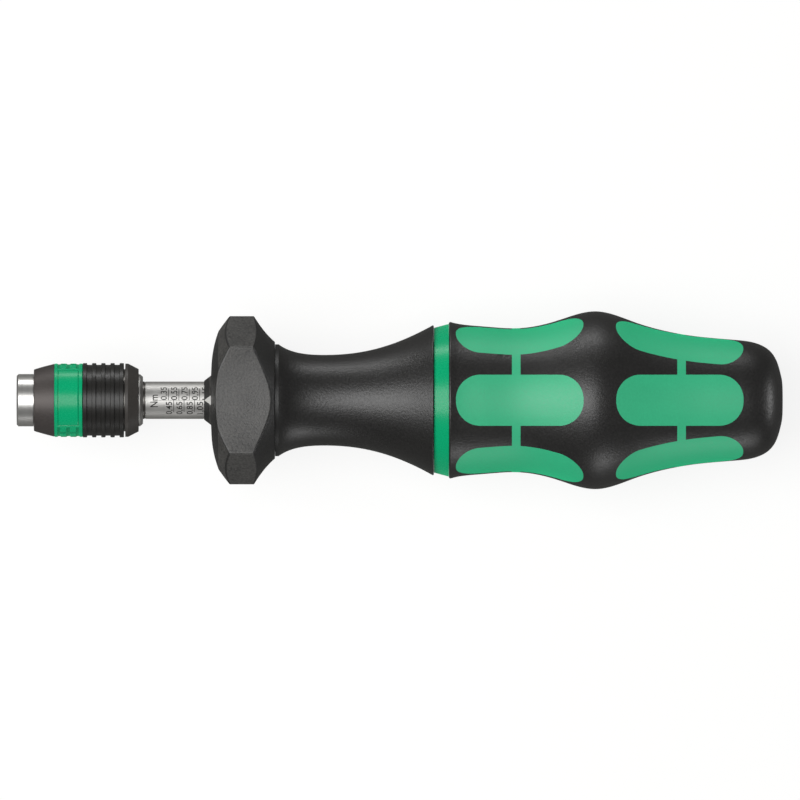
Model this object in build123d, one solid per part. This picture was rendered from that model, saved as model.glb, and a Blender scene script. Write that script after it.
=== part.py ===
from build123d import *
import os
from math import cos, radians, sin

# An adjustable torque screwdriver, lying on its side. X runs along its axis, from the front edge
# of the bit socket toward the handle. Z is up. All lengths are millimetres and angles degrees.

# Fits
running_gap = 0.05
passing_gap = 0.3
seam = 0.03

# Bit socket and the holder behind it
hex_across_flats = 6.35
socket_depth = 14.0
mouth_chamfer = 0.45
nose_radius = 5.3
nose_length = 3.4
nose_chamfer = 0.35
holder_radius = 4.7
magnet_radius = 2.4
magnet_length = 3.0

# Locking balls and the travel of the sleeve that frees them
lock_ball_radius = 1.0
lock_ball_place = 12.2
lock_ball_inner_end = 3.1
lock_ball_lift = 0.6
release_travel = 3.0
ball_hole_play = 0.05
ball_seat_radius = 0.8
ball_seat_depth = 1.05

# Inner sleeve of the quick release
lock_sleeve_radius = 6.3
lock_front_radius = 6.0
lock_tail_radius = 5.75
lock_front_setback = 2.1
lock_front_length = 2.5
spring_room_radius = 5.5
spring_room_length = 3.9
front_land_length = 0.9
snap_groove_setback = 0.7
snap_groove_width = 0.5
snap_groove_radius = 5.75
snap_ring_radius = 6.35

# Outer sleeve of the quick release, which spins freely
sleeve_edge_radius = 6.26
sleeve_middle_radius = 6.81
sleeve_nose_radius = 7.36
sleeve_nose_length = 4.12
sleeve_edge_chamfer = 0.1
nose_lip_length = 1.77
nose_room_radius = 6.4
spigot_radius = 6.9
spigot_length = 6.4
spigot_neck_length = 1.1
band_radius = 7.42
band_length = 5.72
grip_length = 8.29
rib_count = 5
rib_width = 0.86
rib_radius = 7.52
rib_valley_radius = 7.18
rib_edge = 0.1
rear_ring_gap = 0.29
rear_ring_length = 2.69
rear_ring_straight = 0.58
rear_ring_radius = 7.41
rear_ring_end_radius = 6.33

# Stop ring and thrust washer behind the sleeve
rest_gap = 0.04
stop_ring_length = 0.83
stop_ring_radius = 5.26
stop_ring_chamfer = 0.5
thrust_washer_length = 0.32
thrust_washer_radius = 3.8

# Scale sleeve and its screw thread of one scale step for each turn
scale_radius = 3.78
scale_show = 12.05
scale_smooth_length = 14.1
scale_sleeve_length = 36.1
scale_flat_half_width = 3.3
scale_edge_chamfer = 0.2
screw_lead = 1.05
turns_down = 7.5
turns_up = 1.5

# Adjusting collar: a turned disc with three wide, slightly hollow sides and three narrow flats
collar_length = 14.31
collar_cone_length = 1.46
collar_mouth_radius = 3.95
collar_cone_radius = 5.08
dome_middle_place = 1.75
dome_middle_radius = 9.7
dome_end_place = 2.9
dome_end_radius = 14.0
chamfer_end_place = 5.22
chamfer_end_radius = 17.3
rear_curve_place = 10.06
rear_curve_middle_place = 12.1
rear_curve_middle_radius = 14.1
collar_rear_radius = 11.8
collar_corner_radius = 17.3
wide_side_half_angle = 38.55
wide_side_hollow = 1.1
collar_guide_length = 3.1
collar_room_radius = 4.3

# Brass nut pressed into the collar
nut_seat_radius = 6.6
nut_seat_length = 3.3
nut_hub_radius = 6.0
nut_relief_radius = 4.1
nut_relief_length = 4.5

# Collar bearing on the mechanism tube
collar_journal_length = 5.23
nut_to_tube_gap = 0.2
snap_wire_place = 1.25
snap_wire_width = 0.7
snap_wire_depth = 0.4
friction_ring_place = 3.4
friction_ring_width = 0.8
friction_ring_side_play = 0.2
collar_washer_length = 0.74
collar_washer_radius = 11.33

# Waisted front housing
housing_length = 31.36
housing_front_radius = 11.3
waist_radius = 9.17
waist_place = 9.2
housing_rear_radius = 15.3
housing_front_slope = -0.75
housing_rear_slope = 0.56
housing_rear_round = 0.2
housing_spigot_radius = 11.8
housing_spigot_length = 7.1
housing_core_radius = 10.2
housing_core_place = 23.0

# Colour ring between housing and handle
colour_ring_length = 3.0
colour_ring_front_radius = 14.65
colour_ring_rear_radius = 15.45

# Handle outline, places measured from its front edge
handle_length = 67.54
handle_front_radius = 15.95
handle_front_slope = -0.35
handle_front_round = 0.3
handle_neck_front_place = 6.8
handle_neck_front_radius = 14.96
handle_neck_place = 13.7
handle_neck_radius = 14.57
handle_rise_place = 21.5
handle_rise_radius = 15.98
handle_bulge_place = 29.7
handle_bulge_radius = 18.0
handle_fall_place = 38.1
handle_fall_radius = 15.62
handle_taper_place = 46.5
handle_taper_radius = 13.47
handle_tail_place = 57.5
handle_tail_radius = 12.25
handle_tail_slope = -0.08
handle_shoulder_place = 62.9
handle_shoulder_radius = 11.28
handle_turn_place = 64.7
handle_turn_radius = 10.22
handle_round_place = 66.3
handle_round_radius = 8.0
handle_cap_place = 67.1
handle_cap_radius = 5.4

# Soft inlays: six windows in each of two rows, joined by narrow bridges
window_count = 6
window_length = 25.74
window_width = 10.32
window_corner = 4.9
inlay_depth = 2.0
front_row_place = 1.4
rear_row_place = 33.74
bridge_width = 1.74
front_bridge_place = 12.7
rear_bridge_place = 46.1

# Mechanism tube pressed into housing and handle
tube_radius = 8.2
tube_bore_radius = 6.8
tube_front_bore_radius = 6.3
key_count = 3
key_groove_width = 3.0
key_groove_depth = 0.7
tube_end_margin = 1.4

# Guide bush, spring seat and main spring
guide_bush_length = 5.0
spring_seat_length = 0.8
spring_seat_bore = 4.3
main_spring_length = 33.2
main_spring_wire = 1.9
main_spring_radius = 5.65
main_spring_turns = 7.5
spring_end_play = 0.02

# Ball clutch
clutch_ring_length = 4.5
clutch_ring_bore = 2.9
clutch_ball_count = 6
clutch_ball_radius = 1.2
clutch_ball_circle = 4.6
clutch_ball_play = 0.03
pocket_count = 12
pocket_play = 0.05
disc_setback = 0.75
clutch_disc_length = 4.0
clutch_disc_radius = 6.5

# Spindle shaft behind the holder
shaft_radius = 2.5
shaft_flat_half_width = 2.1
journal_radius = 2.0
flats_lead = 0.25
spindle_nut_flats = 7.0
spindle_nut_length = 3.0
shaft_end_chamfer = 0.3

# Rear bearing of the spindle and the relief bore behind it
bearing_length = 5.0
bearing_clear = 1.3
bearing_ring_width = 0.8
bearing_ring_side_play = 0.1
bearing_ring_depth = 0.5
bearing_ring_bore = 4.6
journal_overhang = 0.4
relief_extra_radius = 1.2
relief_extra_length = 1.0

# Release spring around the holder
release_spring_wire = 0.48
release_spring_radius = 5.04
release_spring_turns = 5.5

# Places along the axis, each from the piece in front of it
sleeve_start = nose_length + 2 * rest_gap
band_start = sleeve_start + sleeve_nose_length + seam
grip_start = band_start + band_length + seam
grip_end = grip_start + grip_length
rear_ring_start = grip_end + rear_ring_gap
rear_ring_end = rear_ring_start + rear_ring_length
stop_ring_start = rear_ring_end + rest_gap
holder_end = stop_ring_start + stop_ring_length
thrust_washer_start = holder_end + seam
scale_start = thrust_washer_start + thrust_washer_length
collar_start = scale_start + scale_show
collar_end = collar_start + collar_length
tube_start = collar_end - collar_journal_length
collar_washer_start = collar_end + running_gap
housing_start = collar_washer_start + collar_washer_length
housing_end = housing_start + housing_length
colour_ring_start = housing_end + seam
handle_start = colour_ring_start + colour_ring_length + seam
handle_end = handle_start + handle_length
spring_seat_start = housing_start + guide_bush_length
main_spring_start = spring_seat_start + spring_seat_length
clutch_ring_start = main_spring_start + main_spring_length
clutch_ring_end = clutch_ring_start + clutch_ring_length
disc_start = clutch_ring_end + disc_setback
disc_end = disc_start + clutch_disc_length
nut_end = disc_end + rest_gap + spindle_nut_length
setting_inward = turns_down * screw_lead
setting_outward = turns_up * screw_lead
bearing_start = nut_end + setting_inward + bearing_clear
bearing_end = bearing_start + bearing_length
bearing_groove_end = bearing_end + bearing_ring_width + bearing_ring_side_play
tube_end = bearing_groove_end + tube_end_margin
shaft_end = bearing_end + setting_outward + journal_overhang
relief_end = shaft_end + setting_inward + relief_extra_length

# Sizes that follow from the ones above
hex_corner_radius = hex_across_flats / 2 / cos(radians(30))
ball_centre_radius = lock_ball_inner_end + lock_ball_radius
lock_front = sleeve_start + lock_front_setback
spring_room_end = lock_front + spring_room_length
front_land_end = spring_room_end + front_land_length
snap_groove_start = lock_front + snap_groove_setback
snap_groove_end = snap_groove_start + snap_groove_width
spigot_front = band_start + band_length - spigot_length
journal_bore = tube_radius + running_gap


def rod(start, end, radius):
    """A cylinder on the axis between two places."""
    return Pos(start, 0, 0) * Rot(0, 90, 0) * Cylinder(
        radius, end - start, align=(Align.CENTER, Align.CENTER, Align.MIN)
    )


def ring(start, end, outer, inner):
    """A plain ring on the axis, cut through with room to spare at both ends."""
    return rod(start, end, outer) - rod(start - 1, end + 1, inner)


def turned(*outline):
    """A solid turned from straight lines through (place, radius) points, closed along the axis."""
    return revolve(make_face(Polyline(*outline, close=True)), Axis.X)


def turned_curve(curves, *rest):
    """A solid turned from a curve that straight lines through the remaining points close."""
    wire = Curve() + curves
    lines = Polyline(wire @ 1, *rest, wire @ 0)
    return revolve(make_face(wire + lines), Axis.X)


def softened(solid, place, radius, size):
    """A turned solid with its circular edge nearest to a place and a radius rounded off."""
    rims = solid.edges().filter_by(GeomType.CIRCLE)
    rim = rims.sort_by(lambda edge: abs(edge.arc_center.X - place) + abs(edge.radius - radius))[0]
    return fillet(rim, size)


def around_axis(solid, count, first=0):
    """Copies of one solid, evenly spaced around the axis."""
    return [Rot(first + 360 * index / count, 0, 0) * solid for index in range(count)]


def hex_prism(start, end, across_flats):
    """A hexagonal prism on the axis, with two flats level and two corners on the Y axis."""
    corner = across_flats / 2 / cos(radians(30))
    outline = Plane.YZ.offset(start) * RegularPolygon(corner, 6)
    return extrude(outline, end - start)


def double_flat(start, end, radius, half_width):
    """A round bar with two flats, above and below."""
    slab = Pos((start + end) / 2, 0, 0) * Box(end - start, 4 * radius, 2 * half_width)
    return rod(start, end, radius) & slab


def coil(start, end, radius, wire, turns):
    """A coil spring of round wire that fills the length between two seats."""
    length = end - start - wire - 2 * spring_end_play
    path = Helix(length / turns, length, radius)
    section = Plane(origin=path @ 0, z_dir=path % 0) * Circle(wire / 2)
    spring = sweep(section, path=path, is_frenet=True)
    return Pos(start + wire / 2 + spring_end_play, 0, 0) * Rot(0, 90, 0) * spring


def lock_ball(side):
    """One ball that drops into the bit's notch, on the left or the right of the socket."""
    return Pos(lock_ball_place, side * ball_centre_radius, 0) * Sphere(lock_ball_radius)


def ball_hole(side):
    """The radial hole of a lock ball, with a narrowing seat that keeps the ball out of the socket."""
    width = lock_ball_radius + ball_hole_play
    outward = Rot(-90 * side, 0, 0)
    straight = Pos(lock_ball_place, side * ball_centre_radius, 0) * outward * Cylinder(
        width, holder_radius, align=(Align.CENTER, Align.CENTER, Align.MIN)
    )
    seat_centre = ball_centre_radius - ball_seat_depth / 2
    seat = Pos(lock_ball_place, side * seat_centre, 0) * outward * Cone(
        ball_seat_radius, width, ball_seat_depth
    )
    return straight + seat


def spindle():
    """Bit holder and shaft in one piece: hex socket in front, clutch seat and journal behind."""
    body = turned(
        (0, 0),
        (0, nose_radius - nose_chamfer),
        (nose_chamfer, nose_radius),
        (nose_length, nose_radius),
        (nose_length, holder_radius),
        (holder_end, holder_radius),
        (holder_end, shaft_radius),
        (disc_start - flats_lead, shaft_radius),
        (disc_start - flats_lead, 0),
    )
    body += double_flat(disc_start - flats_lead, disc_end, shaft_radius, shaft_flat_half_width)
    body += turned(
        (disc_end, 0),
        (disc_end, journal_radius),
        (shaft_end - shaft_end_chamfer, journal_radius),
        (shaft_end, journal_radius - shaft_end_chamfer),
        (shaft_end, 0),
    )
    mouth_radius = hex_corner_radius + mouth_chamfer
    mouth = turned((0, 0), (0, mouth_radius), (mouth_radius, 0))
    body -= mouth
    body -= hex_prism(-1, socket_depth, hex_across_flats)
    body -= rod(socket_depth - 1, socket_depth + magnet_length, magnet_radius)
    for side in (-1, 1):
        body -= ball_hole(side)
    return body


def bit_magnet():
    """The magnet at the bottom of the socket, which holds the bit in."""
    return rod(socket_depth, socket_depth + magnet_length, magnet_radius)


def chuck_stop_ring():
    """The bright ring pressed on the holder, against which the release sleeve rests."""
    return turned(
        (stop_ring_start, holder_radius),
        (stop_ring_start, stop_ring_radius - seam),
        (stop_ring_start + seam, stop_ring_radius),
        (stop_ring_start + stop_ring_length / 3, stop_ring_radius),
        (holder_end, stop_ring_radius - stop_ring_chamfer),
        (holder_end, holder_radius),
    )


def lock_sleeve():
    """The inner steel sleeve: its bore holds the balls in, and a ramp behind them lets them out."""
    slope = lock_ball_lift / release_travel
    ramp_angle_factor = (1 + slope * slope) ** 0.5
    hold_radius = ball_centre_radius + lock_ball_radius * ramp_angle_factor + running_gap / 2
    free_radius = hold_radius + lock_ball_lift + running_gap
    ramp_end = lock_ball_place + (free_radius - hold_radius) / slope
    room_end = lock_ball_place + release_travel + lock_ball_radius + passing_gap
    land_radius = holder_radius + running_gap
    step = lock_front + lock_front_length
    return turned(
        (lock_front, spring_room_radius),
        (lock_front, lock_front_radius),
        (snap_groove_start, lock_front_radius),
        (snap_groove_start, snap_groove_radius),
        (snap_groove_end, snap_groove_radius),
        (snap_groove_end, lock_front_radius),
        (step, lock_front_radius),
        (step, lock_sleeve_radius),
        (rear_ring_start, lock_sleeve_radius),
        (rear_ring_start, lock_tail_radius),
        (rear_ring_end, lock_tail_radius),
        (rear_ring_end, land_radius),
        (room_end, land_radius),
        (room_end, free_radius),
        (ramp_end, free_radius),
        (lock_ball_place, hold_radius),
        (front_land_end, hold_radius),
        (front_land_end, land_radius),
        (spring_room_end, land_radius),
        (spring_room_end, spring_room_radius),
    )


def sleeve_snap_ring():
    """The wire ring that keeps the spinning grip on the lock sleeve."""
    return ring(
        snap_groove_start + running_gap,
        snap_groove_end - running_gap,
        snap_ring_radius,
        snap_groove_radius,
    )


def sleeve_rear_ring():
    """The tapered end ring pressed on the tail of the lock sleeve."""
    straight_end = rear_ring_start + rear_ring_straight
    return turned(
        (rear_ring_start, lock_tail_radius),
        (rear_ring_start, rear_ring_radius - seam),
        (rear_ring_start + seam, rear_ring_radius),
        (straight_end, rear_ring_radius),
        (rear_ring_end, rear_ring_end_radius),
        (rear_ring_end, lock_tail_radius),
    )


def sleeve_nose():
    """The rounded front cap of the spinning grip."""
    nose_end = sleeve_start + sleeve_nose_length
    lip_end = sleeve_start + nose_lip_length
    edge = (sleeve_start + sleeve_edge_chamfer, sleeve_edge_radius)
    middle = (sleeve_start + sleeve_nose_length / 2, sleeve_middle_radius + seam)
    lip_bore = nose_radius + running_gap + seam
    return turned_curve(
        [ThreePointArc(edge, middle, (nose_end, sleeve_nose_radius))],
        (nose_end, spigot_radius),
        (spigot_front, spigot_radius),
        (spigot_front, nose_room_radius),
        (lip_end, nose_room_radius),
        (lip_end, lip_bore),
        (sleeve_start, lip_bore),
        (sleeve_start, sleeve_edge_radius - sleeve_edge_chamfer),
    )


def sleeve_band():
    """The coloured band clamped between the cap and the ribbed grip."""
    return ring(band_start, band_start + band_length, band_radius, spigot_radius)


def sleeve_grip():
    """The ribbed part of the grip, with the spigot that carries the band and the cap."""
    bore = lock_sleeve_radius + running_gap
    neck_bore = lock_front_radius + running_gap
    neck_end = spigot_front + spigot_neck_length
    pitch = (grip_length - rib_width) / (rib_count - 1)
    outline = [(spigot_front, neck_bore), (spigot_front, spigot_radius), (grip_start, spigot_radius)]
    for index in range(rib_count):
        start = grip_start + index * pitch
        end = start + rib_width
        if index > 0:
            outline += [(end - pitch, rib_valley_radius), (start, rib_valley_radius)]
        outline += [(start, rib_radius - rib_edge), (start + rib_edge, rib_radius)]
        outline += [(end - rib_edge, rib_radius), (end, rib_radius - rib_edge)]
    outline += [(grip_end, bore), (neck_end, bore), (neck_end, neck_bore)]
    return turned(*outline)


def scale_sleeve():
    """The bright tube that carries the scale: smooth in front, threaded with two flats behind."""
    smooth_end = scale_start + scale_smooth_length
    scale_end = scale_start + scale_sleeve_length
    front = turned(
        (scale_start, 0),
        (scale_start, scale_radius - scale_edge_chamfer),
        (scale_start + scale_edge_chamfer, scale_radius),
        (smooth_end, scale_radius),
        (smooth_end, 0),
    )
    back = double_flat(smooth_end, scale_end, scale_radius, scale_flat_half_width)
    bore = rod(scale_start - 1, scale_end + 1, shaft_radius + running_gap)
    return front + back - bore


def thrust_washer():
    """The thin washer between the scale sleeve and the turning holder."""
    bore = shaft_radius + running_gap
    return ring(thrust_washer_start, scale_start, thrust_washer_radius, bore)


def sides_prism():
    """The six-sided prism of wide hollow sides and narrow flats, one wide side facing up."""
    hollow_radius = collar_corner_radius * cos(radians(wide_side_half_angle)) - wide_side_hollow

    def point(radius, degrees):
        return (radius * sin(radians(degrees)), radius * cos(radians(degrees)))

    outline = Curve()
    for middle in (0, 120, 240):
        start = point(collar_corner_radius, middle - wide_side_half_angle)
        end = point(collar_corner_radius, middle + wide_side_half_angle)
        following = point(collar_corner_radius, middle + 120 - wide_side_half_angle)
        outline += [ThreePointArc(start, point(hollow_radius, middle), end), Line(end, following)]
    face = Plane.YZ.offset(collar_start - 1) * make_face(outline)
    return extrude(face, collar_length + 2)


def collar_hollow():
    """The stepped bore of the collar, with the groove for its retaining ring."""
    guide_bore = scale_radius + running_gap
    nut_seat_end = tube_start - nut_to_tube_gap
    nut_seat_start = nut_seat_end - nut_seat_length
    groove_start = tube_start + snap_wire_place - running_gap
    groove_end = groove_start + snap_wire_width + 2 * running_gap
    room_start = collar_start + collar_guide_length
    mouth_edge = collar_mouth_radius - guide_bore
    return (
        turned(
            (collar_start, 0),
            (collar_start, collar_mouth_radius - seam),
            (collar_start + mouth_edge, guide_bore),
            (room_start, guide_bore),
            (room_start, 0),
        )
        + rod(room_start, nut_seat_start, collar_room_radius)
        + rod(nut_seat_start, nut_seat_end, nut_seat_radius)
        + rod(nut_seat_end, collar_end, journal_bore)
        + rod(groove_start, groove_end, journal_bore + snap_wire_depth - running_gap)
    )


def adjusting_collar():
    """The hand collar: a turned disc with six sides, bored for its nut and its bearing."""
    dome_start = collar_start + collar_cone_length
    dome_middle = (collar_start + dome_middle_place, dome_middle_radius)
    dome_end = (collar_start + dome_end_place, dome_end_radius)
    chamfer_end = (collar_start + chamfer_end_place, chamfer_end_radius)
    curve_start = (collar_start + rear_curve_place, chamfer_end_radius)
    curve_middle = (collar_start + rear_curve_middle_place, rear_curve_middle_radius)
    outline = [
        Line((collar_start, collar_mouth_radius), (dome_start, collar_cone_radius)),
        ThreePointArc((dome_start, collar_cone_radius), dome_middle, dome_end),
        Line(dome_end, chamfer_end),
        Line(chamfer_end, curve_start),
        ThreePointArc(curve_start, curve_middle, (collar_end, collar_rear_radius)),
    ]
    disc = turned_curve(outline, (collar_end, 0), (collar_start, 0))
    return (disc & sides_prism()) - collar_hollow()


def collar_nut():
    """The brass nut that drives the scale sleeve, pressed into the collar."""
    seat_end = tube_start - nut_to_tube_gap
    seat_start = seat_end - nut_seat_length
    thread_bore = scale_radius + running_gap
    relief_end_place = seat_start + nut_relief_length
    return turned(
        (seat_start, nut_relief_radius),
        (seat_start, nut_seat_radius),
        (seat_end, nut_seat_radius),
        (seat_end, nut_hub_radius),
        (collar_end, nut_hub_radius),
        (collar_end, thread_bore),
        (relief_end_place, thread_bore),
        (relief_end_place, nut_relief_radius),
    )


def collar_retaining_ring():
    """The wire ring that keeps the collar on the mechanism tube."""
    start = tube_start + snap_wire_place
    bottom = tube_radius - snap_wire_depth
    return ring(start, start + snap_wire_width, tube_radius + snap_wire_depth - 2 * running_gap, bottom)


def collar_friction_ring():
    """The rubber ring that keeps the collar from turning by itself."""
    wire_radius = friction_ring_width / 2
    centre_radius = tube_radius - wire_radius + running_gap / 2
    place = tube_start + friction_ring_place + wire_radius
    return Pos(place, 0, 0) * Rot(0, 90, 0) * Torus(centre_radius, wire_radius)


def collar_thrust_washer():
    """The plain washer that carries the collar's thrust on the front housing."""
    return ring(collar_washer_start, housing_start, collar_washer_radius, tube_radius)


def front_housing():
    """The waisted front half of the body, with the spigot that enters the handle."""
    outline = Spline(
        [
            (housing_start, housing_front_radius),
            (housing_start + waist_place, waist_radius),
            (housing_end, housing_rear_radius),
        ],
        tangents=[(1, housing_front_slope), (1, 0), (1, housing_rear_slope)],
    )
    spigot_end = housing_end + housing_spigot_length
    core_start = housing_start + housing_core_place
    body = turned_curve(
        [outline],
        (housing_end, housing_spigot_radius),
        (spigot_end, housing_spigot_radius),
        (spigot_end, housing_core_radius),
        (core_start, housing_core_radius),
        (core_start, tube_radius),
        (housing_start, tube_radius),
    )
    return softened(body, housing_end, housing_rear_radius, housing_rear_round)


def colour_ring():
    """The coloured ring seated on the housing's spigot, in front of the handle."""
    ring_end = colour_ring_start + colour_ring_length
    return turned(
        (colour_ring_start, housing_spigot_radius),
        (colour_ring_start, colour_ring_front_radius),
        (ring_end, colour_ring_rear_radius),
        (ring_end, housing_spigot_radius),
    )


def handle_outline(inset=0):
    """The handle's outer curve, or one that lies deeper by an inset."""
    points = [
        (0, handle_front_radius),
        (handle_neck_front_place, handle_neck_front_radius),
        (handle_neck_place, handle_neck_radius),
        (handle_rise_place, handle_rise_radius),
        (handle_bulge_place, handle_bulge_radius),
        (handle_fall_place, handle_fall_radius),
        (handle_taper_place, handle_taper_radius),
        (handle_tail_place, handle_tail_radius),
    ]
    places = [(handle_start + place, radius - inset) for place, radius in points]
    return Spline(places, tangents=[(1, handle_front_slope), (1, handle_tail_slope)])


def handle_blank():
    """The handle's outer form before its windows and bores."""
    side = handle_outline()
    tail = Spline(
        [
            side @ 1,
            (handle_start + handle_shoulder_place, handle_shoulder_radius),
            (handle_start + handle_turn_place, handle_turn_radius),
            (handle_start + handle_round_place, handle_round_radius),
            (handle_start + handle_cap_place, handle_cap_radius),
            (handle_end, 0),
        ],
        tangents=[(1, handle_tail_slope), (0, -1)],
    )
    form = turned_curve([side, tail], (handle_start, 0))
    return softened(form, handle_start, handle_front_radius, handle_front_round)


def handle_floor():
    """The form that the soft inlays stand on, one inlay depth below the handle's surface."""
    side = handle_outline(inlay_depth)
    return turned_curve([side], ((side @ 1).X, 0), (handle_start, 0))


def grip_inlay(blank, row_place, bridge_place):
    """One row of soft windows and the bridges between them, moulded as one piece."""
    reach = 2 * handle_bulge_radius
    place = handle_start + row_place + window_length / 2
    outline = Pos(place, 0, 0) * RectangleRounded(window_length, window_width, window_corner)
    prism = extrude(outline, reach)
    bridge_start = handle_start + bridge_place
    room = rod(bridge_start, bridge_start + bridge_width, reach)
    for window in around_axis(prism, window_count):
        room += window
    return blank & room


def handle_pieces():
    """The hard shell of the handle and its two soft inlays, which share their faces."""
    blank = handle_blank()
    skin = blank - handle_floor()
    front = grip_inlay(skin, front_row_place, front_bridge_place)
    rear = grip_inlay(skin, rear_row_place, rear_bridge_place)
    bores = (
        rod(handle_start - 1, housing_end + housing_spigot_length, housing_spigot_radius)
        + rod(handle_start - 1, tube_end, tube_radius)
        + rod(handle_start, relief_end, journal_radius + relief_extra_radius)
    )
    shell = blank - front - rear - bores
    return {"handle_shell": shell, "front_grip_inlay": front, "rear_grip_inlay": rear}


def keys(start, end, outer, width, play):
    """The three keys that stop a piece from turning in the mechanism tube."""
    height = outer - play
    key = Pos((start + end) / 2, 0, height / 2) * Box(end - start, width - 2 * play, height)
    return around_axis(key, key_count, first=30)


def mechanism_tube():
    """The steel tube that holds the mechanism, with three long key grooves in its bore."""
    retaining_start = tube_start + snap_wire_place - running_gap
    retaining_end = retaining_start + snap_wire_width + 2 * running_gap
    friction_start = tube_start + friction_ring_place - friction_ring_side_play
    friction_end = friction_start + friction_ring_width + 2 * friction_ring_side_play
    friction_bottom = tube_radius - friction_ring_width
    retaining_bottom = tube_radius - snap_wire_depth
    body = rod(tube_start, tube_end, tube_radius)
    body -= rod(tube_start - 1, tube_end + 1, tube_front_bore_radius)
    body -= rod(housing_start, tube_end + 1, tube_bore_radius)
    body -= ring(retaining_start, retaining_end, tube_radius + 1, retaining_bottom)
    body -= ring(friction_start, friction_end, tube_radius + 1, friction_bottom)
    body -= rod(bearing_end, bearing_groove_end, tube_bore_radius + bearing_ring_depth)
    for groove in keys(housing_start, tube_end + 1, tube_bore_radius + key_groove_depth, key_groove_width, 0):
        body -= groove
    return body


def guide_bush():
    """The bush whose two flats keep the scale sleeve from turning."""
    end = spring_seat_start
    body = rod(housing_start, end, tube_bore_radius)
    for key in keys(housing_start, end, tube_bore_radius + key_groove_depth, key_groove_width, running_gap):
        body += key
    flat_half_width = scale_flat_half_width + running_gap
    hole = double_flat(housing_start - 1, end + 1, scale_radius + running_gap, flat_half_width)
    return body - hole


def spring_seat_washer():
    """The hardened washer under the front end of the main spring."""
    return ring(spring_seat_start, main_spring_start, tube_bore_radius - running_gap, spring_seat_bore)


def main_spring():
    """The spring that sets the torque by pressing on the clutch ring."""
    return coil(
        main_spring_start, clutch_ring_start, main_spring_radius, main_spring_wire, main_spring_turns
    )


def clutch_ball(radius, turn=0):
    """One ball of the clutch, or with a larger radius the pocket that it sits in."""
    return Pos(clutch_ring_end, 0, clutch_ball_circle) * Rot(0, 0, turn) * Sphere(radius)


def clutch_ring():
    """The keyed ring that slides in the tube and carries the clutch balls."""
    outer = tube_bore_radius + key_groove_depth
    body = rod(clutch_ring_start, clutch_ring_end, tube_bore_radius - running_gap)
    for key in keys(clutch_ring_start, clutch_ring_end, outer, key_groove_width, running_gap):
        body += key
    body -= rod(clutch_ring_start - 1, clutch_ring_end + 1, clutch_ring_bore)
    for pocket in around_axis(clutch_ball(clutch_ball_radius + clutch_ball_play), clutch_ball_count):
        body -= pocket
    return body


def clutch_balls():
    """The six steel balls of the clutch."""
    return Compound(children=around_axis(clutch_ball(clutch_ball_radius), clutch_ball_count))


def clutch_disc():
    """The disc fixed on the spindle, with twelve pockets for the balls."""
    body = rod(disc_start, disc_end, clutch_disc_radius)
    hole_flats = shaft_flat_half_width + seam
    body -= double_flat(disc_start - 1, disc_end + 1, shaft_radius + seam, hole_flats)
    for pocket in around_axis(clutch_ball(clutch_ball_radius + pocket_play, 180), pocket_count):
        body -= pocket
    return body


def spindle_nut():
    """The nut that holds the clutch disc on the spindle."""
    start = disc_end + rest_gap
    return hex_prism(start, nut_end, spindle_nut_flats) - rod(start - 1, nut_end + 1, journal_radius)


def rear_bearing():
    """The plain bush that steadies the rear end of the spindle."""
    return ring(bearing_start, bearing_end, tube_bore_radius, journal_radius + running_gap)


def bearing_snap_ring():
    """The ring that keeps the rear bearing in the tube."""
    outer = tube_bore_radius + bearing_ring_depth - running_gap
    return ring(bearing_end, bearing_end + bearing_ring_width, outer, bearing_ring_bore)


def release_spring():
    """The small spring that returns the release sleeve."""
    return coil(
        nose_length, spring_room_end, release_spring_radius, release_spring_wire, release_spring_turns
    )


pieces = {
    "spindle": spindle(),
    "bit_magnet": bit_magnet(),
    "chuck_stop_ring": chuck_stop_ring(),
    "lock_ball_left": lock_ball(1),
    "lock_ball_right": lock_ball(-1),
    "lock_sleeve": lock_sleeve(),
    "sleeve_snap_ring": sleeve_snap_ring(),
    "sleeve_rear_ring": sleeve_rear_ring(),
    "release_spring": release_spring(),
    "sleeve_nose": sleeve_nose(),
    "sleeve_band": sleeve_band(),
    "sleeve_grip": sleeve_grip(),
    "scale_sleeve": scale_sleeve(),
    "thrust_washer": thrust_washer(),
    "adjusting_collar": adjusting_collar(),
    "collar_nut": collar_nut(),
    "collar_retaining_ring": collar_retaining_ring(),
    "collar_friction_ring": collar_friction_ring(),
    "collar_thrust_washer": collar_thrust_washer(),
    "front_housing": front_housing(),
    "colour_ring": colour_ring(),
    "mechanism_tube": mechanism_tube(),
    "guide_bush": guide_bush(),
    "spring_seat_washer": spring_seat_washer(),
    "main_spring": main_spring(),
    "clutch_ring": clutch_ring(),
    "clutch_balls": clutch_balls(),
    "clutch_disc": clutch_disc(),
    "spindle_nut": spindle_nut(),
    "rear_bearing": rear_bearing(),
    "bearing_snap_ring": bearing_snap_ring(),
    **handle_pieces(),
}

os.makedirs("parts", exist_ok=True)
for name, piece in pieces.items():
    export_step(piece, f"parts/{name}.step")
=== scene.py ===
import math

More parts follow.
